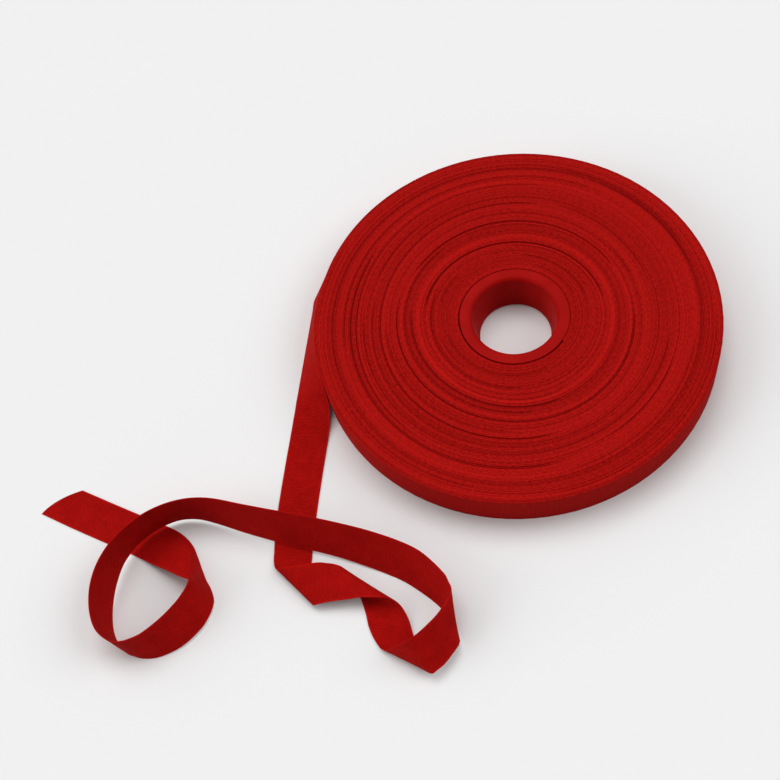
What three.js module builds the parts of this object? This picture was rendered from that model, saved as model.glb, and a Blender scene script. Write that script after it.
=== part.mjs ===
import * as THREE from 'three';

// Driving sizes of the roll, in millimetres
const RIBBON_WIDTH = 16;
const ROLL_RADIUS = 83.6;
const CORE_RADIUS = 23;
const PIECE_GAP = 0.3;
const ROLL_STEPS = 80;
const CORE_STEPS = 56;

// The roll's axis, measured from the middle of the whole part's footprint
const ROLL_AT = [62.24, 24.66];

// Bore of the core: rounded lip, a slightly narrower foot, and raised turns on its lower half
const BORE_TOP = 17.8;
const BORE_FOOT = 14.9;
const LIP = 1.6;
const TURN_HEIGHTS = [3.2, 5.4, 7.6];
const TURN_RISE = 0.35;

// Deeper grooves between the wound turns: columns are radius and depth
const GROOVES = [
  [28.3, 0.5],
  [32.4, 0.3],
  [37.0, 0.5],
  [42.2, 0.4],
  [47.6, 0.6],
  [53.2, 0.3],
  [56.6, 0.5],
  [62.8, 0.4],
  [68.2, 0.6],
  [74.6, 0.3],
];
const GROOVE_HALF = 0.9;
const RIM_ROUND = 0.7;

// Where the ribbon leaves the roll: its foot swings out, then runs straight along a line. Its top
// selvedge leans on the roll's side, leaves it at EASE_FROM and eases down to the floor by LINE_TO,
// both measured along that line. Angles are in degrees.
const SIDE_GAP = 0.42;
const LEAVE_FROM = 106;
const SWING_FROM = 112;
const LINE_TURN = 160.2;
const LINE_AT = 88.7;
const LINE_FROM = -13;
const EASE_FROM = 41;
const LINE_TO = 58;
const EASE_POWER = 2.2;

// Loose end: a sheet with its own thickness, cut at a slant with a slightly bowed edge
const SHEET = 1.0;
const SHEET_STEP = 3.0;
const SHEET_STRIPS = 4;
const CUT_BOW = 1.8;
const CUT_BOW_REACH = 10;

// Cross-lines of the loose end, in travel order from the roll to the cut end. x and y are the middle
// of the line from the roll's axis, lift is its lower end above the floor. turn is the plan direction
// from the selvedge that tops the roll to the one at its foot, lean is the slope that way, and
// slant is how far the line runs askew of square across the ribbon, these three in degrees.
const TAIL_ROWS = [
  // flat on the floor, then the first fold, over on top and away to the right
  { x: -98.6, y: -35.6, lift: 0, turn: 160, lean: 0, slant: 0 },
  { x: -103.5, y: -49.6, lift: 0, turn: 161, lean: 0, slant: 0 },
  { x: -106.4, y: -58.5, lift: 0, turn: 154, lean: 0, slant: 7 },
  { x: -109.0, y: -67.5, lift: 0, turn: 143, lean: 0, slant: 18 },
  { x: -111.0, y: -75.5, lift: 0.3, turn: 131, lean: 0, slant: 30 },
  { x: -112.1, y: -81.5, lift: 0.8, turn: 124, lean: -2, slant: 40 },
  { x: -111.7, y: -85.3, lift: 2.0, turn: 122, lean: 0, slant: 41 },
  { x: -109.0, y: -86.5, lift: 4.0, turn: 121, lean: 3, slant: 40 },
  { x: -104.0, y: -87.2, lift: 4.2, turn: 112, lean: 5, slant: 28 },
  { x: -98.0, y: -88.0, lift: 4.7, turn: 108, lean: 4, slant: 25 },
  { x: -92.5, y: -89.2, lift: 5.3, turn: 116, lean: -2, slant: 31 },
  { x: -87.5, y: -91.0, lift: 4.9, turn: 124, lean: -5, slant: 39 },
  // second fold, under and towards the viewer
  { x: -83.8, y: -92.6, lift: 3.2, turn: 131, lean: -6, slant: 45 },
  { x: -82.0, y: -95.0, lift: 1.2, turn: 134, lean: -6, slant: 48 },
  { x: -80.8, y: -98.2, lift: 0.2, turn: 135, lean: -4, slant: 48 },
  { x: -79.8, y: -102.6, lift: 0, turn: 138, lean: -2, slant: 43 },
  { x: -79.3, y: -108.5, lift: 0, turn: 142, lean: 0, slant: 37 },
  { x: -79.1, y: -114.5, lift: 0, turn: 143, lean: 0, slant: 37 },
  { x: -78.0, y: -120.5, lift: 0.4, turn: 141, lean: 0, slant: 37 },
  // third fold, up on edge
  { x: -76.2, y: -124.8, lift: 1.6, turn: 139, lean: -4, slant: 37 },
  { x: -74.3, y: -126.0, lift: 3.9, turn: 135, lean: 7, slant: 24 },
  { x: -72.1, y: -126.6, lift: 4.7, turn: 128, lean: 20, slant: 11 },
  { x: -69.6, y: -126.4, lift: 4.9, turn: 123, lean: 33, slant: 0 },
  // right-hand loop, standing on its edge
  { x: -66.0, y: -124.9, lift: 4.3, turn: 123, lean: 38, slant: 0 },
  { x: -59.3, y: -120.4, lift: 3.6, turn: 124, lean: 48, slant: 0 },
  { x: -56.9, y: -118.0, lift: 2.4, turn: 104, lean: 49, slant: 18 },
  { x: -54.8, y: -115.3, lift: 1.2, turn: 87, lean: 46, slant: 30 },
  { x: -54.6, y: -111.6, lift: 0.4, turn: 77, lean: 53, slant: 27 },
  { x: -55.5, y: -107.9, lift: 0, turn: 66, lean: 59, slant: 21 },
  { x: -57.1, y: -102.9, lift: 0, turn: 54, lean: 59, slant: 10 },
  { x: -64.6, y: -92.0, lift: 0, turn: 45, lean: 51, slant: 0 },
  // long leaning band that crosses over the first stretch
  { x: -71.4, y: -85.8, lift: 0, turn: 48, lean: 50, slant: 0 },
  { x: -81.4, y: -79.0, lift: 0.6, turn: 51, lean: 52, slant: 0 },
  { x: -91.6, y: -73.1, lift: 1.3, turn: 53, lean: 56, slant: 0 },
  { x: -103.5, y: -66.8, lift: 1.7, turn: 57, lean: 58, slant: 0 },
  { x: -115.6, y: -60.5, lift: 1.7, turn: 58, lean: 63, slant: 0 },
  { x: -126.0, y: -54.7, lift: 1.4, turn: 59, lean: 68, slant: 0 },
  { x: -136.2, y: -48.9, lift: 1.5, turn: 61, lean: 74, slant: 0 },
  { x: -143.6, y: -46.0, lift: 1.8, turn: 64, lean: 81, slant: 0 },
  // left-hand loop, round and back beneath itself
  { x: -151.2, y: -44.9, lift: 1.8, turn: 80, lean: 86, slant: 0 },
  { x: -158.8, y: -45.8, lift: 1.8, turn: 105, lean: 87, slant: 0 },
  { x: -165.7, y: -48.2, lift: 1.8, turn: 128, lean: 86, slant: 0 },
  { x: -172.1, y: -52.0, lift: 1.8, turn: 150, lean: 84, slant: 0 },
  { x: -177.7, y: -57.2, lift: 1.7, turn: 165, lean: 80, slant: 0 },
  { x: -182.0, y: -63.6, lift: 1.3, turn: 171, lean: 75, slant: 0 },
  { x: -185.0, y: -71.0, lift: 0.6, turn: 178, lean: 73, slant: 0 },
  { x: -186.3, y: -79.4, lift: 0, turn: 187, lean: 75, slant: 0 },
  { x: -185.3, y: -87.2, lift: 0, turn: 193, lean: 79, slant: 0 },
  { x: -181.5, y: -93.2, lift: 0, turn: 173, lean: 83, slant: 0 },
  { x: -178.3, y: -95.0, lift: 0, turn: 138, lean: 83, slant: 0 },
  { x: -174.8, y: -96.0, lift: 0, turn: 115, lean: 78, slant: 0 },
  { x: -169.0, y: -95.9, lift: 0.2, turn: 110, lean: 69, slant: 0 },
  { x: -160.8, y: -93.0, lift: 0.6, turn: 119, lean: 56, slant: 0 },
  { x: -153.3, y: -88.2, lift: 0.9, turn: 129, lean: 52, slant: 0 },
  { x: -149.1, y: -84.0, lift: 0.8, turn: 136, lean: 56, slant: 0 },
  { x: -147.1, y: -80.6, lift: 0.3, turn: 149, lean: 62, slant: 3 },
  { x: -146.9, y: -78.1, lift: 0, turn: 178, lean: 69, slant: 0 },
  { x: -147.4, y: -75.3, lift: 0, turn: 228, lean: 69, slant: 6 },
  { x: -147.9, y: -72.5, lift: 0, turn: 252, lean: 58, slant: 24 },
  { x: -148.5, y: -69.6, lift: 0, turn: 260, lean: 46, slant: 36 },
  // the cut end, turning down flat
  { x: -150.4, y: -65.8, lift: 0, turn: 256, lean: 35, slant: 38 },
  { x: -155.2, y: -59.6, lift: 0, turn: 243, lean: 20, slant: 27 },
  { x: -161.4, y: -53.5, lift: 0, turn: 230, lean: 4, slant: 15 },
  { x: -168.5, y: -47.7, lift: 0, turn: 224, lean: 0, slant: 6 },
  { x: -180.5, y: -38.3, lift: 0, turn: 226, lean: 0, slant: 4 },
  { x: -190.0, y: -30.8, lift: 0, turn: 221, lean: 0, slant: 10 },
  { x: -195.2, y: -26.6, lift: 0, turn: 208, lean: 0, slant: 22 },
  { x: -199.1, y: -23.4, lift: 0, turn: 198, lean: 0, slant: 32 },
];

const rad = THREE.MathUtils.degToRad;

// Closed section of the core, from its foot up the outside, over the lip and down the bore
function coreSection() {
  const points = [];
  points.push([BORE_FOOT + 0.8, 0]);
  points.push([CORE_RADIUS - 0.6, 0]);
  points.push([CORE_RADIUS, 0.6]);
  points.push([CORE_RADIUS, RIBBON_WIDTH - 0.6]);
  points.push([CORE_RADIUS - 0.6, RIBBON_WIDTH]);
  for (let i = 0; i <= 5; i += 1) {
    const a = rad(90 + 18 * i);
    const r = BORE_TOP + LIP + LIP * Math.cos(a);
    points.push([r, RIBBON_WIDTH - LIP + LIP * Math.sin(a)]);
  }
  const boreAt = (z) => BORE_FOOT + (BORE_TOP - BORE_FOOT) * (z / (RIBBON_WIDTH - LIP));
  for (const z of [...TURN_HEIGHTS].reverse()) {
    points.push([boreAt(z + 0.6), z + 0.6]);
    points.push([boreAt(z) - TURN_RISE, z]);
    points.push([boreAt(z - 0.6), z - 0.6]);
  }
  points.push([BORE_FOOT, 0.8]);
  points.push(points[0]);
  return points;
}

// Closed section of the wound ribbon, its upper face grooved where turns sit lower
function woundSection() {
  const inner = CORE_RADIUS + PIECE_GAP;
  const top = RIBBON_WIDTH;
  const points = [
    [inner, 0],
    [ROLL_RADIUS - RIM_ROUND, 0],
    [ROLL_RADIUS, RIM_ROUND],
    [ROLL_RADIUS, top - RIM_ROUND],
    [ROLL_RADIUS - RIM_ROUND, top],
  ];
  for (const [radius, depth] of [...GROOVES].reverse()) {
    points.push([radius + GROOVE_HALF, top]);
    points.push([radius, top - depth]);
    points.push([radius - GROOVE_HALF, top]);
  }
  points.push([inner + 0.8, top]);
  points.push([inner, top - 0.8]);
  points.push(points[0]);
  return points;
}

// Turn a section round the roll's axis
function revolve(section, steps) {
  const profile = section.map(([r, z]) => new THREE.Vector2(r, z));
  return new THREE.LatheGeometry(profile, steps).rotateX(Math.PI / 2);
}

// Smooth value of one column between two rows, with slopes taken from the rows about them
function between(rows, reach, column, i, f) {
  const last = rows.length - 1;
  const slope = (k) => {
    const a = Math.max(k - 1, 0);
    const b = Math.min(k + 1, last);
    return (rows[b][column] - rows[a][column]) / (reach[b] - reach[a]);
  };
  const h = reach[i + 1] - reach[i];
  const f2 = f * f;
  const f3 = f2 * f;
  return (2 * f3 - 3 * f2 + 1) * rows[i][column]
    + (f3 - 2 * f2 + f) * h * slope(i)
    + (3 * f2 - 2 * f3) * rows[i + 1][column]
    + (f3 - f2) * h * slope(i + 1);
}

// Middle point and half-length vector of one cross-line
function crossLine(row) {
  const turn = rad(row.turn);
  const lean = rad(row.lean);
  const half = RIBBON_WIDTH / Math.cos(rad(row.slant)) / 2;
  const low = Math.max(row.lift, 0) + (SHEET / 2) * Math.cos(lean);
  const middle = new THREE.Vector3(row.x, row.y, low + half * Math.abs(Math.sin(lean)));
  const flat = Math.cos(lean) * half;
  const arm = new THREE.Vector3(flat * Math.cos(turn), flat * Math.sin(turn), half * Math.sin(lean));
  return { middle, arm };
}

// Rows of the stretch that leaves the roll, worked out from the roll's side
function leavingRows() {
  const rows = [];
  const side = ROLL_RADIUS + SIDE_GAP + SHEET / 2;
  const lineStart = LINE_TURN + Math.atan(LINE_FROM / LINE_AT) / rad(1);
  const swingFull = Math.hypot(LINE_AT, LINE_FROM) - side;
  for (let k = 0; k < 7; k += 1) {
    const turn = LEAVE_FROM + ((lineStart - LEAVE_FROM) * k) / 7;
    const f = Math.max(0, (turn - SWING_FROM) / (lineStart - SWING_FROM));
    const swing = swingFull * f * f * (2 - f);
    const lean = -Math.acos(swing / RIBBON_WIDTH) / rad(1);
    const r = side + swing / 2;
    rows.push({ x: r * Math.cos(rad(turn)), y: r * Math.sin(rad(turn)), lift: 0, turn, lean, slant: 0 });
  }
  const room = (d) => LINE_AT - Math.sqrt(side * side - d * d);
  const easeLean = Math.acos(room(EASE_FROM) / RIBBON_WIDTH);
  for (let k = 0; k <= 12; k += 1) {
    const d = LINE_FROM + ((LINE_TO - LINE_FROM) * k) / 12;
    const ease = (LINE_TO - d) / (LINE_TO - EASE_FROM);
    const drop = d < EASE_FROM ? Math.acos(room(d) / RIBBON_WIDTH) : easeLean * ease ** EASE_POWER;
    const out = LINE_AT - (RIBBON_WIDTH * Math.cos(drop)) / 2;
    const x = out * Math.cos(rad(LINE_TURN)) - d * Math.sin(rad(LINE_TURN));
    const y = out * Math.sin(rad(LINE_TURN)) + d * Math.cos(rad(LINE_TURN));
    rows.push({ x, y, lift: 0, turn: LINE_TURN, lean: -drop / rad(1), slant: 0 });
  }
  return rows;
}

// All cross-lines of the loose end, at even steps between its rows
function tailLines() {
  const rows = [...leavingRows(), ...TAIL_ROWS];
  const middles = rows.map((row) => crossLine(row).middle);
  const reach = [0];
  for (let i = 1; i < rows.length; i += 1) {
    reach.push(reach[i - 1] + middles[i].distanceTo(middles[i - 1]));
  }
  const lines = [];
  for (let i = 0; i < rows.length - 1; i += 1) {
    const parts = Math.max(1, Math.round((reach[i + 1] - reach[i]) / SHEET_STEP));
    const count = i === rows.length - 2 ? parts + 1 : parts;
    for (let k = 0; k < count; k += 1) {
      const row = {};
      for (const column of Object.keys(rows[0])) {
        row[column] = between(rows, reach, column, i, k / parts);
      }
      lines.push({ ...crossLine(row), along: reach[i] + (reach[i + 1] - reach[i]) * (k / parts) });
    }
  }
  return lines;
}

// Points of one layer of the sheet: a row of points for each cross-line, with the bowed cut
function tailGrid(lines) {
  const end = lines[lines.length - 1].along;
  return lines.map((line, i) => {
    const before = lines[Math.max(i - 1, 0)].middle;
    const after = lines[Math.min(i + 1, lines.length - 1)].middle;
    const ahead = after.clone().sub(before).normalize();
    const near = Math.max(0, 1 - (end - line.along) / CUT_BOW_REACH);
    const points = [];
    for (let j = 0; j <= SHEET_STRIPS; j += 1) {
      const v = (2 * j) / SHEET_STRIPS - 1;
      const bow = CUT_BOW * near * near * (1 - v * v);
      points.push(line.middle.clone().addScaledVector(line.arm, v).addScaledVector(ahead, bow));
    }
    return points;
  });
}

// The loose end as a closed sheet of even thickness
function sheetGeometry() {
  const grid = tailGrid(tailLines());
  const rows = grid.length;
  const cols = SHEET_STRIPS + 1;
  const positions = [];
  for (const side of [0.5, -0.5]) {
    for (let i = 0; i < rows; i += 1) {
      for (let j = 0; j < cols; j += 1) {
        const ahead = grid[Math.min(i + 1, rows - 1)][j].clone().sub(grid[Math.max(i - 1, 0)][j]);
        const across = grid[i][Math.min(j + 1, cols - 1)].clone().sub(grid[i][Math.max(j - 1, 0)]);
        const out = across.cross(ahead).normalize();
        const point = grid[i][j].clone().addScaledVector(out, side * SHEET);
        positions.push(point.x, point.y, Math.max(point.z, 0));
      }
    }
  }
  const index = [];
  const quad = (a, b, c, d) => index.push(a, b, c, a, c, d);
  const at = (side, i, j) => side * rows * cols + i * cols + j;
  for (let i = 0; i < rows - 1; i += 1) {
    for (let j = 0; j < cols - 1; j += 1) {
      quad(at(0, i, j), at(0, i, j + 1), at(0, i + 1, j + 1), at(0, i + 1, j));
      quad(at(1, i, j), at(1, i + 1, j), at(1, i + 1, j + 1), at(1, i, j + 1));
    }
    quad(at(0, i, 0), at(0, i + 1, 0), at(1, i + 1, 0), at(1, i, 0));
    quad(at(0, i, cols - 1), at(1, i, cols - 1), at(1, i + 1, cols - 1), at(0, i + 1, cols - 1));
  }
  for (let j = 0; j < cols - 1; j += 1) {
    quad(at(0, 0, j), at(1, 0, j), at(1, 0, j + 1), at(0, 0, j + 1));
    const e = rows - 1;
    quad(at(0, e, j), at(0, e, j + 1), at(1, e, j + 1), at(1, e, j));
  }
  const geometry = new THREE.BufferGeometry();
  geometry.setAttribute('position', new THREE.Float32BufferAttribute(positions, 3));
  geometry.setIndex(index);
  return geometry;
}

// A named piece, moved so that the part's origin is the middle of its footprint
function piece(name, geometry, colour, roughness) {
  geometry.translate(ROLL_AT[0], ROLL_AT[1], 0);
  geometry.computeVertexNormals();
  const material = new THREE.MeshStandardMaterial({ color: colour, roughness });
  const mesh = new THREE.Mesh(geometry, material);
  mesh.name = name;
  return mesh;
}

const part = new THREE.Group();
part.name = 'ribbon_roll';
part.add(piece('core', revolve(coreSection(), CORE_STEPS), 0x8c0a0a, 0.6));
part.add(piece('wound_ribbon', revolve(woundSection(), ROLL_STEPS), 0x9a0d0d, 0.85));
part.add(piece('loose_end', sheetGeometry(), 0xa31010, 0.85));

export default part;
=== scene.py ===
"""A roll of narrow red ribbon lying on its side, its loose end folding and curling away beside it."""

import math

import bmesh
import bpy
import numpy as np
from mathutils import Matrix, Vector


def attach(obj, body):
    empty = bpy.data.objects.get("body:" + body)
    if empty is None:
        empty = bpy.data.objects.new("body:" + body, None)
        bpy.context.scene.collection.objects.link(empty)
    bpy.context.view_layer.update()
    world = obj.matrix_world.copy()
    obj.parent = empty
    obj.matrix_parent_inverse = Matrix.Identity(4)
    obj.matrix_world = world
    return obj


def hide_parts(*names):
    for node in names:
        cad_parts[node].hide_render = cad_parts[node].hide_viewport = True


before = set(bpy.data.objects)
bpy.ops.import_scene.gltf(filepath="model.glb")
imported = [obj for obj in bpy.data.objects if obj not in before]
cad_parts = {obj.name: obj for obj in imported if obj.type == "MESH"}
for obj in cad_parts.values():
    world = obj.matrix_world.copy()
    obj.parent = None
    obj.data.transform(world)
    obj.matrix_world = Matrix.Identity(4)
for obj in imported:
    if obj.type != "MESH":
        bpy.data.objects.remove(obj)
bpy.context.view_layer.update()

MM = 0.001

# The roll, in millimetres
RIBBON_WIDTH = 16.0
ROLL_RADIUS = 83.6
CORE_RADIUS = 22.6
PIECE_GAP = 0.14
ROLL_AT = (62.24, 24.66)

# Core: rounded lip, a bore that narrows to the foot, and raised turns on its lower half
BORE_TOP = 17.3
BORE_FOOT = 14.9
LIP = 2.3
CORE_ROUND = 0.2
CORE_STEPS = 192
BORE_STEPS = 44
FOOT_RISE = 0.8
FOOT_BEVEL = 0.25
BORE_TURN_HALF = 0.38
BORE_TURNS = [
    # height above the foot, how far it stands out
    (2.1, 0.14),
    (3.9, 0.18),
    (5.7, 0.18),
    (7.6, 0.14),
    (9.4, 0.08),
]

# Wound turns: one modelled turn stands for nearly three of the ribbon's own
TURN_PITCH = 0.6
TURN_THICK = 0.585
TURN_ROUND = 0.10
TURN_STEPS = 96
SWELL_SPACING = 2.2
SWELL_HEIGHT = 0.4
GROOVE_HALF = 0.52
OUTER_TONE = 0.58

# Turns that sit lower, each along an arc: radius, first and last angle, depth. About half of the
# radii come from a measuring program's list of dark rings in the photograph; the rest are given one by
# one.
# The depth also darkens a sunk turn's colour: painted shade in its groove.
SUNK_TURNS = [
    (26.0, 0, 60, 0.35),
    (28.3, 175, 290, 0.45),
    (30.2, -5, 75, 0.40),
    (30.8, 120, 160, 0.35),
    (31.2, 180, 220, 0.35),
    (32.0, 0, 100, 0.35),
    (34.0, 140, 265, 0.45),
    (35.0, 0, 85, 0.30),
    (36.8, -5, 160, 0.70),
    (39.2, 210, 290, 0.40),
    (42.2, 155, 285, 0.50),
    (44.8, 110, 270, 0.45),
    (47.0, 10, 140, 0.75),
    (48.6, 150, 350, 0.45),
    (52.0, 0, 30, 0.40),
    (53.2, 165, 260, 0.40),
    (56.0, 60, 275, 0.70),
    (57.5, 0, 60, 0.40),
    (59.4, 25, 125, 0.35),
    (59.3, 150, 300, 0.35),
    (61.5, 110, 150, 0.35),
    (62.8, 160, 340, 0.50),
    (66.0, 60, 220, 0.45),
    (68.3, 130, 275, 0.80),
    (66.6, 285, 330, 0.40),
    (70.8, 40, 180, 0.40),
    (72.8, 265, 340, 0.45),
    (75.0, 0, 50, 0.35),
    (76.4, 5, 65, 0.35),
    (78.3, 190, 250, 0.40),
    (80.8, 260, 350, 0.40),
    (81.0, 130, 170, 0.35),
    (82.5, 165, 230, 0.30),
]

# Where the ribbon leaves the roll: its foot swings out, then runs straight along a line while its
# top selvedge leans on the roll's side and slides down to the floor. Angles are in degrees.
LEAVE_FROM = 106.0
SWING_FROM = 112.0
LINE_TURN = 160.2
LINE_AT = 88.7
LINE_FROM = -13.0
EASE_FROM = 38.5
LINE_TO = 58.0
EASE_POWER = 2.2
SWING_ROWS = 7
LINE_ROWS = 13

# Loose end: thickness of the ribbon, its weave, its mesh, and the bow of its cut
SHEET = 0.36
RIB_PITCH = 0.62
THREAD_PITCH = 0.44
SELVEDGE = 0.7
SHEET_STEP = 0.8
SHEET_STRIPS = 14
CUT_BOW = 1.8
CUT_BOW_REACH = 10.0

# Cross-lines of the loose end from the roll to the cut end: x and y of the middle from the roll's
# axis, lift of the lower end above the floor, turn from the top selvedge to the foot one, lean, slant.
# Part of them was worked out by fitting programs from selvedges traced on the photograph, and then
# rounded and adjusted.
TAIL_ROWS = [
    # flat on the floor, then the first fold, over on top and away to the right
    (-98.6, -35.6, 0, 160, 0, 0),
    (-103.5, -49.6, 0, 161, 0, 0),
    (-106.4, -58.5, 0, 154, 0, 7),
    (-109.0, -67.5, 0, 143, 0, 18),
    (-111.0, -75.5, 0.3, 131, 0, 30),
    (-112.1, -81.5, 0.8, 124, -2, 40),
    (-111.7, -85.3, 2.0, 122, 0, 41),
    (-109.0, -86.5, 4.0, 121, 3, 40),
    (-104.0, -87.2, 4.2, 112, 5, 28),
    (-98.0, -88.0, 4.7, 108, 4, 25),
    (-92.5, -89.2, 5.3, 116, -2, 31),
    (-87.5, -91.0, 4.9, 124, -5, 39),
    # second fold, under and towards the viewer
    (-83.8, -92.6, 3.2, 131, -6, 45),
    (-82.0, -95.0, 1.2, 134, -6, 48),
    (-80.8, -98.2, 0.2, 135, -4, 48),
    (-79.8, -102.6, 0, 138, -2, 43),
    (-79.3, -108.5, 0, 142, 0, 37),
    (-79.1, -114.5, 0, 143, 0, 37),
    (-78.0, -120.5, 0.4, 141, 0, 37),
    # third fold, up on edge
    (-76.2, -124.8, 1.6, 139, -4, 37),
    (-74.3, -126.0, 3.9, 135, 7, 24),
    (-72.1, -126.6, 4.7, 128, 20, 11),
    (-69.6, -126.4, 4.9, 123, 33, 0),
    # right-hand loop, standing on its edge
    (-66.0, -124.9, 4.3, 123, 38, 0),
    (-59.3, -120.4, 3.6, 124, 48, 0),
    (-56.9, -118.0, 2.4, 104, 49, 18),
    (-54.8, -115.3, 1.2, 87, 46, 30),
    (-54.6, -111.6, 0.4, 77, 53, 27),
    (-55.5, -107.9, 0, 66, 59, 21),
    (-57.1, -102.9, 0, 54, 59, 10),
    (-64.6, -92.0, 0, 45, 51, 0),
    # long leaning band that crosses over the first stretch
    (-71.4, -85.8, 0, 48, 50, 0),
    (-81.4, -79.0, 0.6, 51, 52, 0),
    (-91.6, -73.1, 1.3, 53, 56, 0),
    (-103.5, -66.8, 1.7, 57, 58, 0),
    (-115.6, -60.5, 1.7, 58, 63, 0),
    (-126.0, -54.7, 1.4, 59, 68, 0),
    (-136.2, -48.9, 1.5, 61, 74, 0),
    (-143.6, -46.0, 1.8, 64, 81, 0),
    # left-hand loop, round and back beneath itself
    (-151.2, -44.9, 1.8, 80, 86, 0),
    (-158.8, -45.8, 1.8, 105, 87, 0),
    (-165.7, -48.2, 1.8, 128, 86, 0),
    (-172.1, -52.0, 1.8, 150, 84, 0),
    (-177.7, -57.2, 1.7, 165, 80, 0),
    (-182.0, -63.6, 1.3, 171, 75, 0),
    (-185.0, -71.0, 0.6, 178, 73, 0),
    (-186.3, -79.4, 0, 187, 75, 0),
    (-185.3, -87.2, 0, 193, 79, 0),
    (-181.5, -93.2, 0, 173, 83, 0),
    (-178.3, -95.0, 0, 138, 83, 0),
    (-174.8, -96.0, 0, 115, 78, 0),
    (-169.0, -95.9, 0.2, 110, 69, 0),
    (-160.8, -93.0, 0.6, 119, 56, 0),
    (-153.3, -88.2, 0.9, 129, 52, 0),
    (-149.1, -84.0, 0.8, 136, 56, 0),
    (-147.1, -80.6, 0.3, 149, 62, 3),
    (-146.9, -78.1, 0, 178, 69, 0),
    (-147.4, -75.3, 0, 228, 69, 6),
    (-147.9, -72.5, 0, 252, 58, 24),
    (-148.5, -69.6, 0, 260, 46, 36),
    # the cut end, turning down flat
    (-150.4, -65.8, 0, 256, 35, 38),
    (-155.2, -59.6, 0, 243, 20, 27),
    (-161.4, -53.5, 0, 230, 4, 15),
    (-168.5, -47.7, 0, 224, 0, 6),
    (-180.5, -38.3, 0, 226, 0, 4),
    (-190.0, -30.8, 0, 221, 0, 10),
    (-195.2, -26.6, 0, 208, 0, 22),
    (-199.1, -23.4, 0, 198, 0, 32),
]

# Studio: lights by name, azimuth, elevation and strength; the sky's light and its look; the floor
LIGHTS = [
    ("back_light", 90, 65, 1.18),
    ("back_left_light", 135, 40, 0.54),
    ("left_light", 180, 22, 1.15),
    ("right_light", 0, 40, 1.04),
]
LIGHT_SPREAD = 40
SKY_LIGHT = 0.3
SKY_SEEN = 0.9
FLOOR_HALF = 12.0

# Camera: place from the roll's axis on the floor, angles in degrees, focal length in picture widths
CAMERA_FROM = (-57.0, -264.8, 458.0)
CAMERA_DOWN = 60.96
CAMERA_TURN = -14.41
FOCAL_WIDTHS = 1257 / 780
SENSOR_WIDTH = 36


def smoothstep(x):
    x = np.clip(x, 0, 1)
    return x * x * (3 - 2 * x)


def wander(t, spacing, seed):
    """A smooth random line from -1 to 1, with a new value every so far along t."""
    rng = np.random.RandomState(seed)
    values = rng.uniform(-1, 1, int(np.max(t) / spacing) + 4)
    i = np.floor(t / spacing).astype(int)
    f = smoothstep(t / spacing - i)
    return values[i] * (1 - f) + values[i + 1] * f


def mesh_object(name, verts, faces, material):
    """A mesh object at the origin, its points in the row's frame, in metres."""
    mesh = bpy.data.meshes.new(name)
    mesh.from_pydata([tuple(v) for v in verts], [], faces)
    mesh.materials.append(material)
    mesh.validate()
    thing = bpy.data.objects.new(name, mesh)
    bpy.context.collection.objects.link(thing)
    return thing


def shade(thing, angle):
    """Smooth faces, with edges sharper than the angle kept crisp."""
    mesh = thing.data
    mesh.shade_smooth()
    mesh.set_sharp_from_angle(angle=math.radians(angle))


# Materials


class Nodes:
    """Short hand for a material's node tree."""

    def __init__(self, name):
        self.material = bpy.data.materials.new(name)
        self.material.use_nodes = True
        self.tree = self.material.node_tree
        self.shader = self.tree.nodes["Principled BSDF"]

    def add(self, kind, **settings):
        node = self.tree.nodes.new("ShaderNode" + kind)
        for key, value in settings.items():
            setattr(node, key, value)
        return node

    def link(self, source, target):
        self.tree.links.new(source, target)

    def math(self, operation, a, b=None):
        node = self.add("Math", operation=operation)
        for socket, value in zip(node.inputs, (a, b)):
            if value is None:
                continue
            if isinstance(value, (int, float)):
                socket.default_value = value
            else:
                self.link(value, socket)
        return node.outputs[0]

    def noise(self, vector, scale, detail=2.0, rough=0.5):
        node = self.add("TexNoise")
        node.inputs["Scale"].default_value = scale
        node.inputs["Detail"].default_value = detail
        node.inputs["Roughness"].default_value = rough
        self.link(vector, node.inputs["Vector"])
        return node.outputs["Fac"]

    def ramp(self, value, stops):
        node = self.add("ValToRGB")
        element = node.color_ramp.elements
        element[0].position, element[0].color = stops[0]
        element[1].position, element[1].color = stops[-1]
        for place, colour in stops[1:-1]:
            element.new(place).color = colour
        self.link(value, node.inputs["Fac"])
        return node.outputs["Color"]

    def bump(self, height, strength, distance, before=None):
        node = self.add("Bump")
        node.inputs["Strength"].default_value = strength
        node.inputs["Distance"].default_value = distance
        self.link(height, node.inputs["Height"])
        if before:
            self.link(before, node.inputs["Normal"])
        return node.outputs["Normal"]


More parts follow.
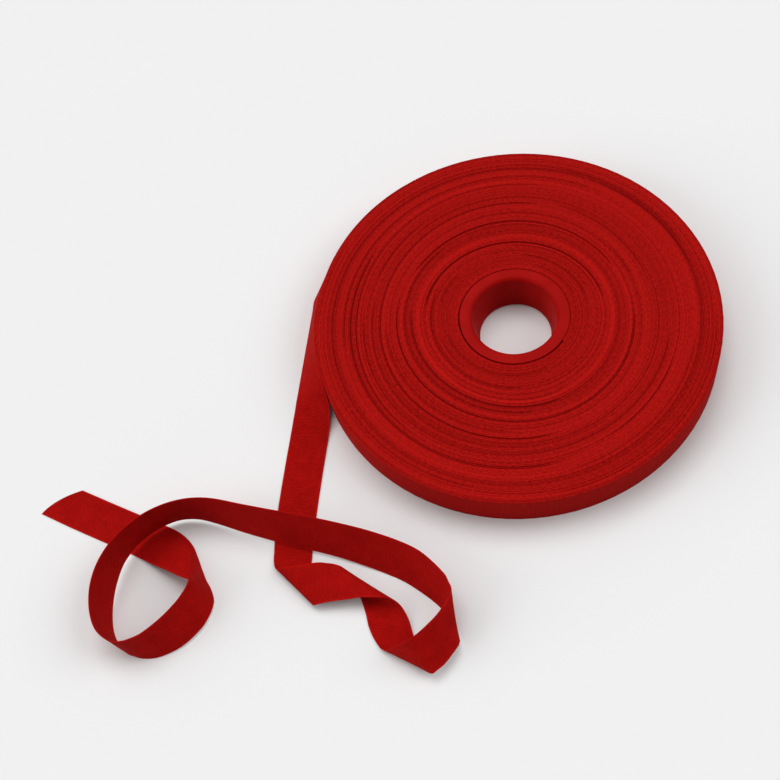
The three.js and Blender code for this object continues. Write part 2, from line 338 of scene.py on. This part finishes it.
def ribbon_material():
    """Fine cross-ribbed ribbon: ribs run across its width, with plain selvedges."""
    n = Nodes("ribbon_cloth")
    uv = n.add("UVMap", uv_map="ribbon").outputs["UV"]
    parts = n.add("SeparateXYZ")
    n.link(uv, parts.inputs[0])
    across, along = parts.outputs["X"], parts.outputs["Y"]
    coords = n.add("TexCoord").outputs["Object"]
    ribs = n.math("SINE", n.math("MULTIPLY", along, 2 * math.pi / RIB_PITCH))
    threads = n.math("SINE", n.math("MULTIPLY", across, 2 * math.pi / THREAD_PITCH))
    half = RIBBON_WIDTH / 2
    from_middle = n.math("ABSOLUTE", n.math("SUBTRACT", across, half))
    inside = n.math("LESS_THAN", from_middle, half - SELVEDGE)
    ribs = n.math("MULTIPLY", ribs, inside)
    weave = n.math("ADD", n.math("MULTIPLY", ribs, 0.8), n.math("MULTIPLY", threads, 0.2))
    grain = n.noise(coords, 1800, 2)
    height = n.math("ADD", weave, n.math("MULTIPLY", grain, 0.8))
    mottle = n.noise(coords, 160, 4, 0.6)
    fine = n.noise(coords, 1300, 2)
    cloud = n.math("ADD", n.math("MULTIPLY", mottle, 0.45), n.math("MULTIPLY", fine, 0.55))
    plain = n.math("MULTIPLY", n.math("SUBTRACT", 1.0, inside), 0.10)
    tone = n.math("ADD", n.math("ADD", cloud, plain), n.math("MULTIPLY", ribs, 0.16))
    colour = n.ramp(tone, [(0.20, (0.220, 0.0014, 0.0010, 1)), (0.80, (0.445, 0.0050, 0.0034, 1))])
    n.link(colour, n.shader.inputs["Base Color"])
    n.link(n.bump(height, 0.6, 0.0001), n.shader.inputs["Normal"])
    n.shader.inputs["Roughness"].default_value = 0.85
    n.shader.inputs["Specular IOR Level"].default_value = 0.04
    return n.material


def turns_material():
    """Woven edges of the wound turns: each turn has its own tone, darkened as painted shade where it
    sits lower; rib ends make a fine speckle.
    """
    n = Nodes("ribbon_turns_cloth")
    coords = n.add("TexCoord").outputs["Object"]
    # the turn's tone: random tone plus painted shade where a turn sits lower
    tone = n.add("Attribute", attribute_name="turn_tone_and_shade").outputs["Fac"]
    along = n.add("Attribute", attribute_name="turn_along").outputs["Fac"]
    dashes = n.add("TexNoise", noise_dimensions="1D")
    dashes.inputs["Scale"].default_value = 620
    dashes.inputs["Detail"].default_value = 1.0
    n.link(along, dashes.inputs["W"])
    dashes = dashes.outputs["Fac"]
    grain = n.noise(coords, 1500, 2)
    speckle = n.math("ADD", n.math("MULTIPLY", dashes, 0.6), n.math("MULTIPLY", grain, 0.4))
    parts = n.add("SeparateXYZ")
    n.link(coords, parts.inputs[0])
    half = RIBBON_WIDTH / 2 * MM
    from_middle = n.math("ABSOLUTE", n.math("SUBTRACT", parts.outputs["Z"], half))
    # dashes only on the upper and lower edges, ribs only on the roll's wall
    edge = n.math("GREATER_THAN", from_middle, half * 0.9)
    spots = n.math("MULTIPLY", n.math("SUBTRACT", speckle, 0.5), edge)
    ribs = n.math("SINE", n.math("MULTIPLY", along, 2 * math.pi / (RIB_PITCH * MM)))
    side_ribs = n.math("MULTIPLY", ribs, n.math("SUBTRACT", 1.0, edge))
    fine = n.math("ADD", n.math("MULTIPLY", spots, 0.5), n.math("MULTIPLY", side_ribs, 0.05))
    mix = n.math("ADD", fine, n.math("MULTIPLY", tone, 0.25))
    colour = n.ramp(mix, [(0.0, (0.225, 0.0014, 0.0010, 1)), (0.32, (0.460, 0.0065, 0.0042, 1))])
    n.link(colour, n.shader.inputs["Base Color"])
    height = n.math("ADD", n.math("MULTIPLY", speckle, edge), n.math("MULTIPLY", side_ribs, 0.3))
    n.link(n.bump(height, 0.5, 0.0003), n.shader.inputs["Normal"])
    n.shader.inputs["Roughness"].default_value = 0.85
    n.shader.inputs["Specular IOR Level"].default_value = 0.06
    return n.material


def core_material():
    """Smooth moulded red plastic, hardly shiny, with faint mould marks."""
    n = Nodes("core_plastic")
    coords = n.add("TexCoord").outputs["Object"]
    cloud = n.noise(coords, 90, 3)
    colour = n.ramp(cloud, [(0.3, (0.290, 0.0012, 0.0008, 1)), (0.7, (0.340, 0.0030, 0.0020, 1))])
    n.link(colour, n.shader.inputs["Base Color"])
    n.link(n.bump(n.noise(coords, 700, 2), 0.15, 0.0001), n.shader.inputs["Normal"])
    n.shader.inputs["Roughness"].default_value = 0.6
    n.shader.inputs["Specular IOR Level"].default_value = 0.05
    return n.material


def floor_material():
    n = Nodes("pale_floor")
    n.shader.inputs["Base Color"].default_value = (0.80, 0.80, 0.80, 1)
    n.shader.inputs["Roughness"].default_value = 0.9
    n.shader.inputs["Specular IOR Level"].default_value = 0.1
    return n.material


# Core


def core_section():
    """Closed section of the core: up the outside, over the lip, down the bore."""
    top = RIBBON_WIDTH
    edge = CORE_RADIUS - CORE_ROUND
    points = [(BORE_FOOT + FOOT_RISE, 0), (edge, 0)]
    for k in range(1, 5):
        a = math.radians(-90 + 22.5 * k)
        points.append((edge + CORE_ROUND * math.cos(a), CORE_ROUND * (1 + math.sin(a))))
    for k in range(5):
        a = math.radians(22.5 * k)
        points.append((edge + CORE_ROUND * math.cos(a), top - CORE_ROUND * (1 - math.sin(a))))
    for k in range(13):
        a = math.radians(90 + 7.5 * k)
        r = BORE_TOP + LIP + LIP * math.cos(a)
        points.append((r, top - LIP + LIP * math.sin(a)))
    for k in range(1, BORE_STEPS):
        z = (top - LIP) * (1 - k / BORE_STEPS)
        if z < FOOT_RISE + 0.1:
            break
        rise = sum(out * math.exp(-(((z - at) / BORE_TURN_HALF) ** 2)) for at, out in BORE_TURNS)
        points.append((BORE_FOOT + (BORE_TOP - BORE_FOOT) * z / (top - LIP) - rise, z))
    points += [(BORE_FOOT, FOOT_RISE), (BORE_FOOT + FOOT_BEVEL, FOOT_BEVEL)]
    return points


def make_core(material):
    section = core_section()
    verts, faces = [], []
    count = len(section)
    for i in range(CORE_STEPS):
        a = 2 * math.pi * i / CORE_STEPS
        for r, z in section:
            verts.append((
                (ROLL_AT[0] + r * math.cos(a)) * MM,
                (ROLL_AT[1] + r * math.sin(a)) * MM,
                z * MM,
            ))
    for i in range(CORE_STEPS):
        j = (i + 1) % CORE_STEPS
        for k in range(count):
            m = (k + 1) % count
            faces.append((i * count + k, j * count + k, j * count + m, i * count + m))
    core = mesh_object("core_ring", verts, faces, material)
    shade(core, 40)
    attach(core, "root")
    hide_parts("core")
    return core


# Wound ribbon


def winding_path():
    """Points along the wound ribbon from the core out, with each point's length and its tone, which
    holds painted shade.
    """
    first = CORE_RADIUS + PIECE_GAP + TURN_PITCH / 2
    last = ROLL_RADIUS - TURN_PITCH / 2
    turns = (last - first) / TURN_PITCH
    end = math.radians(LEAVE_FROM)
    theta = np.arange(0, int(turns * TURN_STEPS) + 1) * 2 * math.pi / TURN_STEPS
    angle = theta - theta[-1] + end
    radius = last - TURN_PITCH * (theta[-1] - theta) / (2 * math.pi)
    share = np.clip((radius - first) / (last - first), 0, 1)
    # the turns between the core and the rim aren't quite round
    loose = np.sin(math.pi * share) ** 0.8
    wobble = 0.45 * np.cos(2 * angle + 6 * share) + 0.25 * np.cos(3 * angle - 9 * share + 1)
    placed = radius + wobble * loose
    # height of each turn, of groups of turns, and of the sunk ones
    lower = 0.09 * wander(theta, 1.9, 3) + 0.08 * wander(theta, 4.3, 4)
    group = wander(radius * 10, 17, 5) * 0.12 + wander(radius * 10, 6.5, 6) * 0.07
    rise = lower + group - 0.16
    azimuth = np.degrees(angle) % 360
    sunk = 0
    for at, start, stop, depth in SUNK_TURNS:
        near = np.exp(-(((radius - at) / GROOVE_HALF) ** 2))
        way = (azimuth - start) % 360
        span = stop - start
        fade = smoothstep(way / 12) * smoothstep((span - way) / 12) * (way < span)
        sunk = sunk + depth * near * fade
    # tone: broad bands and fine rings at random, and painted shade: darker where a turn sits lower
    bands = 0.12 * wander(radius * 10, 34, 9) + 0.15 * wander(radius * 10, 12, 8)
    rings = wander(radius * 10, 6.5, 10) * (0.26 + 0.14 * wander(theta, 5, 11))
    tone = 0.72 + 0.2 * wander(theta, 3.7, 7) + bands + rings + 0.9 * (lower + group) - sunk
    tone[theta > theta[-1] - 2 * math.pi] = OUTER_TONE
    rise = rise - sunk
    x = (ROLL_AT[0] + placed * np.cos(angle)) * MM
    y = (ROLL_AT[1] + placed * np.sin(angle)) * MM
    z = (RIBBON_WIDTH / 2 + rise) * MM
    step = np.hypot(np.diff(x), np.diff(y))
    along = np.concatenate([[0], np.cumsum(step)])
    return np.stack([x, y, z], 1), tone, along


def winding_tree():
    """Geometry nodes that sweep the ribbon's rounded section along the winding path."""
    tree = bpy.data.node_groups.new("wound_turns", "GeometryNodeTree")
    face = tree.interface
    face.new_socket("Path", in_out="INPUT", socket_type="NodeSocketGeometry")
    for name in ("Width", "Thickness", "Edge Round", "Swell Spacing", "Swell Height"):
        face.new_socket(name, in_out="INPUT", socket_type="NodeSocketFloat")
    face.new_socket("Axis", in_out="INPUT", socket_type="NodeSocketVector")
    face.new_socket("Cloth", in_out="INPUT", socket_type="NodeSocketMaterial")
    face.new_socket("Turns", in_out="OUTPUT", socket_type="NodeSocketGeometry")
    add = lambda kind: tree.nodes.new(kind)
    link = tree.links.new

    def math_node(operation, a, b):
        node = add("ShaderNodeMath")
        node.operation = operation
        for socket, value in zip(node.inputs, (a, b)):
            if isinstance(value, float):
                socket.default_value = value
            else:
                link(value, socket)
        return node.outputs[0]

    start, end = add("NodeGroupInput"), add("NodeGroupOutput")
    curve = add("GeometryNodeMeshToCurve")
    link(start.outputs["Path"], curve.inputs["Mesh"])
    upright = add("GeometryNodeSetCurveNormal")
    upright.mode = "Z_UP"
    link(curve.outputs["Curve"], upright.inputs["Curve"])
    slab = add("GeometryNodeCurvePrimitiveQuadrilateral")
    link(start.outputs["Thickness"], slab.inputs["Width"])
    link(start.outputs["Width"], slab.inputs["Height"])
    rounded = add("GeometryNodeFilletCurve")
    rounded.mode = "POLY"
    rounded.inputs["Count"].default_value = 1
    link(slab.outputs["Curve"], rounded.inputs["Curve"])
    link(start.outputs["Edge Round"], rounded.inputs["Radius"])
    sweep = add("GeometryNodeCurveToMesh")
    sweep.inputs["Fill Caps"].default_value = True
    link(upright.outputs["Curve"], sweep.inputs["Curve"])
    link(rounded.outputs["Curve"], sweep.inputs["Profile Curve"])
    place = add("GeometryNodeInputPosition")
    away = add("ShaderNodeVectorMath")
    away.operation = "SUBTRACT"
    link(place.outputs["Position"], away.inputs[0])
    link(start.outputs["Axis"], away.inputs[1])
    split = add("ShaderNodeSeparateXYZ")
    link(away.outputs["Vector"], split.inputs[0])
    around = add("ShaderNodeCombineXYZ")
    link(split.outputs["X"], around.inputs["X"])
    link(split.outputs["Y"], around.inputs["Y"])
    radius = add("ShaderNodeVectorMath")
    radius.operation = "LENGTH"
    link(around.outputs[0], radius.inputs[0])
    heading = add("ShaderNodeVectorMath")
    heading.operation = "NORMALIZE"
    link(around.outputs[0], heading.inputs[0])
    rings = math_node("DIVIDE", radius.outputs["Value"], start.outputs["Swell Spacing"])
    lifted = add("ShaderNodeCombineXYZ")
    link(rings, lifted.inputs["Z"])
    spot = add("ShaderNodeVectorMath")
    spot.operation = "ADD"
    link(heading.outputs["Vector"], spot.inputs[0])
    link(lifted.outputs[0], spot.inputs[1])
    swell = add("ShaderNodeTexNoise")
    swell.inputs["Scale"].default_value = 1.0
    swell.inputs["Detail"].default_value = 1.5
    link(spot.outputs["Vector"], swell.inputs["Vector"])
    upper = math_node("GREATER_THAN", split.outputs["Z"], 0.0)
    centred = math_node("SUBTRACT", swell.outputs["Fac"], 0.5)
    sized = math_node("MULTIPLY", centred, start.outputs["Swell Height"])
    offset = math_node("MULTIPLY", sized, upper)
    level = math_node("ADD", split.outputs["Z"], offset)
    half = math_node("MULTIPLY", start.outputs["Width"], -0.5)
    floor = math_node("MAXIMUM", level, half)
    joined = add("ShaderNodeCombineXYZ")
    link(split.outputs["X"], joined.inputs["X"])
    link(split.outputs["Y"], joined.inputs["Y"])
    link(floor, joined.inputs["Z"])
    back = add("ShaderNodeVectorMath")
    back.operation = "ADD"
    link(joined.outputs[0], back.inputs[0])
    link(start.outputs["Axis"], back.inputs[1])
    rest = add("GeometryNodeSetPosition")
    link(sweep.outputs["Mesh"], rest.inputs["Geometry"])
    link(back.outputs["Vector"], rest.inputs["Position"])
    real = add("GeometryNodeRealizeInstances")
    link(rest.outputs["Geometry"], real.inputs["Geometry"])
    dye = add("GeometryNodeSetMaterial")
    link(real.outputs["Geometry"], dye.inputs["Geometry"])
    link(start.outputs["Cloth"], dye.inputs["Material"])
    link(dye.outputs["Geometry"], end.inputs["Turns"])
    return tree


def make_wound_ribbon(material):
    points, tone, along = winding_path()
    path = bpy.data.meshes.new("winding_path")
    count = len(points)
    path.from_pydata(points.tolist(), [(i, i + 1) for i in range(count - 1)], [])
    # the tone holds painted shade where a turn sits lower
    for name, values in (("turn_tone_and_shade", tone), ("turn_along", along)):
        path.attributes.new(name, "FLOAT", "POINT").data.foreach_set("value", values)
    winding = bpy.data.objects.new("winding", path)
    bpy.context.collection.objects.link(winding)
    modifier = winding.modifiers.new("turns", "NODES")
    modifier.node_group = winding_tree()
    sizes = {
        "Width": RIBBON_WIDTH * MM,
        "Thickness": TURN_THICK * MM,
        "Edge Round": TURN_ROUND * MM,
        "Swell Spacing": SWELL_SPACING * MM,
        "Swell Height": SWELL_HEIGHT * MM,
        "Axis": (ROLL_AT[0] * MM, ROLL_AT[1] * MM, RIBBON_WIDTH / 2 * MM),
        "Cloth": material,
    }
    for item in modifier.node_group.interface.items_tree:
        if item.in_out == "INPUT" and item.name in sizes:
            modifier[item.identifier] = sizes[item.name]
    depsgraph = bpy.context.evaluated_depsgraph_get()
    mesh = bpy.data.meshes.new_from_object(winding.evaluated_get(depsgraph))
    winding.modifiers.remove(modifier)
    bpy.data.objects.remove(winding)
    mesh.name = "ribbon_turns"
    turns = bpy.data.objects.new("ribbon_turns", mesh)
    bpy.context.collection.objects.link(turns)
    work = bmesh.new()
    work.from_mesh(mesh)
    bmesh.ops.recalc_face_normals(work, faces=work.faces)
    work.to_mesh(mesh)
    work.free()
    shade(turns, 50)
    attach(turns, "root")
    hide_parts("wound_ribbon")
    return turns


# Loose end


def leaving_rows():
    """Rows of the stretch that leaves the roll, worked out from the roll's side."""
    rows = []
    side = ROLL_RADIUS - TURN_PITCH / 2
    line_start = LINE_TURN + math.degrees(math.atan(LINE_FROM / LINE_AT))
    swing_full = math.hypot(LINE_AT, LINE_FROM) - side
    for k in range(SWING_ROWS):
        turn = LEAVE_FROM + 0.15 + (line_start - LEAVE_FROM) * k / SWING_ROWS
        f = max(0, (turn - SWING_FROM) / (line_start - SWING_FROM))
        swing = swing_full * f * f * (2 - f)
        lean = -math.degrees(math.acos(swing / RIBBON_WIDTH))
        r = side + swing / 2
        a = math.radians(turn)
        rows.append((r * math.cos(a), r * math.sin(a), 0, turn, lean, 0))
    a = math.radians(LINE_TURN)
    room = lambda d: LINE_AT - math.sqrt(side * side - d * d)
    ease_lean = math.acos(room(EASE_FROM) / RIBBON_WIDTH)
    for k in range(LINE_ROWS):
        d = LINE_FROM + (LINE_TO - LINE_FROM) * k / (LINE_ROWS - 1)
        if d < EASE_FROM:
            drop = math.acos(room(d) / RIBBON_WIDTH)
        else:
            drop = ease_lean * ((LINE_TO - d) / (LINE_TO - EASE_FROM)) ** EASE_POWER
        out = LINE_AT - RIBBON_WIDTH * math.cos(drop) / 2
        x = out * math.cos(a) - d * math.sin(a)
        y = out * math.sin(a) + d * math.cos(a)
        rows.append((x, y, 0, LINE_TURN, -math.degrees(drop), 0))
    return rows


def cross_line(row):
    """Middle point and half-length arm of each cross-line."""
    x, y, lift, turn, lean, slant = row.T
    turn, lean = np.radians(turn), np.radians(lean)
    half = RIBBON_WIDTH / np.cos(np.radians(slant)) / 2
    low = np.maximum(lift, 0) + SHEET / 2 * np.cos(lean)
    middle = np.stack([x, y, low + half * np.abs(np.sin(lean))], 1)
    flat = np.cos(lean) * half
    arm = np.stack([flat * np.cos(turn), flat * np.sin(turn), half * np.sin(lean)], 1)
    return middle, arm


def tail_lines():
    """Cross-lines of the loose end at even steps, smoothly drawn through its rows."""
    rows = np.array(leaving_rows() + TAIL_ROWS, float)
    middles = cross_line(rows)[0]
    reach = np.concatenate([[0], np.cumsum(np.linalg.norm(np.diff(middles, axis=0), axis=1))])
    slopes = np.empty_like(rows)
    slopes[1:-1] = (rows[2:] - rows[:-2]) / (reach[2:] - reach[:-2])[:, None]
    slopes[0] = (rows[1] - rows[0]) / (reach[1] - reach[0])
    slopes[-1] = (rows[-1] - rows[-2]) / (reach[-1] - reach[-2])
    along = np.linspace(0, reach[-1], int(reach[-1] / SHEET_STEP) + 1)
    i = np.clip(np.searchsorted(reach, along, side="right") - 1, 0, len(rows) - 2)
    h = (reach[i + 1] - reach[i])[:, None]
    f = ((along - reach[i])[:, None]) / h
    f2, f3 = f * f, f * f * f
    drawn = (
        (2 * f3 - 3 * f2 + 1) * rows[i]
        + (f3 - 2 * f2 + f) * h * slopes[i]
        + (3 * f2 - 2 * f3) * rows[i + 1]
        + (f3 - f2) * h * slopes[i + 1]
    )
    return (*cross_line(drawn), along)


def make_loose_end(material):
    middle, arm, along = tail_lines()
    rows, cols = len(middle), SHEET_STRIPS + 1
    ahead = np.gradient(middle, axis=0)
    ahead /= np.linalg.norm(ahead, axis=1)[:, None]
    near = np.clip(1 - (along[-1] - along) / CUT_BOW_REACH, 0, 1)
    v = np.linspace(-1, 1, cols)
    bow = CUT_BOW * (near * near)[:, None] * (1 - v * v)[None, :]
    grid = middle[:, None] + arm[:, None] * v[None, :, None] + ahead[:, None] * bow[:, :, None]
    across = np.gradient(grid, axis=1)
    forward = np.gradient(grid, axis=0)
    out = np.cross(across, forward)
    out /= np.linalg.norm(out, axis=2)[:, :, None]
    sides = []
    for side in (0.5, -0.5):
        layer = grid + out * side * SHEET
        layer[:, :, 2] = np.maximum(layer[:, :, 2], 0)
        layer[:, :, 0] += ROLL_AT[0]
        layer[:, :, 1] += ROLL_AT[1]
        sides.append(layer.reshape(-1, 3) * MM)
    verts = np.concatenate(sides)
    at = lambda side, i, j: side * rows * cols + i * cols + j
    faces = []
    for i in range(rows - 1):
        for j in range(cols - 1):
            faces.append((at(0, i, j), at(0, i, j + 1), at(0, i + 1, j + 1), at(0, i + 1, j)))
            faces.append((at(1, i, j), at(1, i + 1, j), at(1, i + 1, j + 1), at(1, i, j + 1)))
        faces.append((at(0, i, 0), at(0, i + 1, 0), at(1, i + 1, 0), at(1, i, 0)))
        e = cols - 1
        faces.append((at(0, i, e), at(1, i, e), at(1, i + 1, e), at(0, i + 1, e)))
    for j in range(cols - 1):
        e = rows - 1
        faces.append((at(0, 0, j), at(1, 0, j), at(1, 0, j + 1), at(0, 0, j + 1)))
        faces.append((at(0, e, j), at(0, e, j + 1), at(1, e, j + 1), at(1, e, j)))
    tail = mesh_object("ribbon_end", verts, faces, material)
    mesh = tail.data
    side_way = np.tile(RIBBON_WIDTH * (v + 1) / 2, (rows, 1))
    length = np.linalg.norm(np.diff(grid, axis=0), axis=2)
    long_way = np.concatenate([np.zeros((1, cols)), np.cumsum(length, axis=0)], axis=0)
    square = np.stack([side_way, long_way], 2).reshape(-1, 2)
    square = np.concatenate([square, square])
    corners = np.empty(len(mesh.loops), int)
    mesh.loops.foreach_get("vertex_index", corners)
    layer = mesh.uv_layers.new(name="ribbon")
    layer.data.foreach_set("uv", square[corners].ravel())
    shade(tail, 60)
    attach(tail, "root")
    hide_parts("loose_end")
    return tail


# Scene


def make_floor():
    far = FLOOR_HALF
    verts = [(-far, -far, 0), (far, -far, 0), (far, far, 0), (-far, far, 0)]
    floor = mesh_object("floor", verts, [(0, 1, 2, 3)], floor_material())


def soft_light(name, azimuth, elevation, strength):
    """A broad, even studio light, far away, that shines from one side at a height, in degrees."""
    light = bpy.data.lights.new(name, "SUN")
    light.energy = strength
    light.angle = math.radians(LIGHT_SPREAD)
    thing = bpy.data.objects.new(name, light)
    side, height = math.radians(azimuth), math.radians(elevation)
    flat = math.cos(height)
    from_there = Vector((flat * math.cos(side), flat * math.sin(side), math.sin(height)))
    thing.rotation_euler = from_there.to_track_quat("Z", "Y").to_euler()
    bpy.context.collection.objects.link(thing)


def light_scene():
    world = bpy.data.worlds.new("studio")
    world.use_nodes = True
    sky = world.node_tree.nodes["Background"]
    sky.inputs["Color"].default_value = (1, 1, 1, 1)
    # the sky lights the scene weakly and looks as bright as the floor
    seen = world.node_tree.nodes.new("ShaderNodeLightPath").outputs["Is Camera Ray"]
    strength = world.node_tree.nodes.new("ShaderNodeMapRange")
    strength.inputs["To Min"].default_value = SKY_LIGHT
    strength.inputs["To Max"].default_value = SKY_SEEN
    world.node_tree.links.new(seen, strength.inputs["Value"])
    world.node_tree.links.new(strength.outputs["Result"], sky.inputs["Strength"])
    bpy.context.scene.world = world
    for name, azimuth, elevation, strength in LIGHTS:
        soft_light(name, azimuth, elevation, strength)
    bpy.context.scene.view_settings.view_transform = "Standard"


def make_camera():
    """The photograph's own view: 61 degrees down, turned a little about its own axis."""
    pitch, roll = math.radians(CAMERA_DOWN), math.radians(CAMERA_TURN)
    ahead = Vector((0, math.cos(pitch), -math.sin(pitch)))
    up = Vector((0, math.sin(pitch), math.cos(pitch)))
    side = Vector((1, 0, 0))
    right = math.cos(roll) * side + math.sin(roll) * up
    above = -math.sin(roll) * side + math.cos(roll) * up
    data = bpy.data.cameras.new("camera")
    data.sensor_width = SENSOR_WIDTH
    data.lens = SENSOR_WIDTH * FOCAL_WIDTHS
    camera = bpy.data.objects.new("camera", data)
    place = (Vector((*ROLL_AT, 0)) + Vector(CAMERA_FROM)) * MM
    facing = Matrix((right, above, -ahead)).transposed().to_4x4()
    camera.matrix_world = Matrix.Translation(place) @ facing
    bpy.context.collection.objects.link(camera)
    bpy.context.scene.camera = camera


make_camera()
light_scene()
make_floor()
make_core(core_material())
make_wound_ribbon(turns_material())
make_loose_end(ribbon_material())
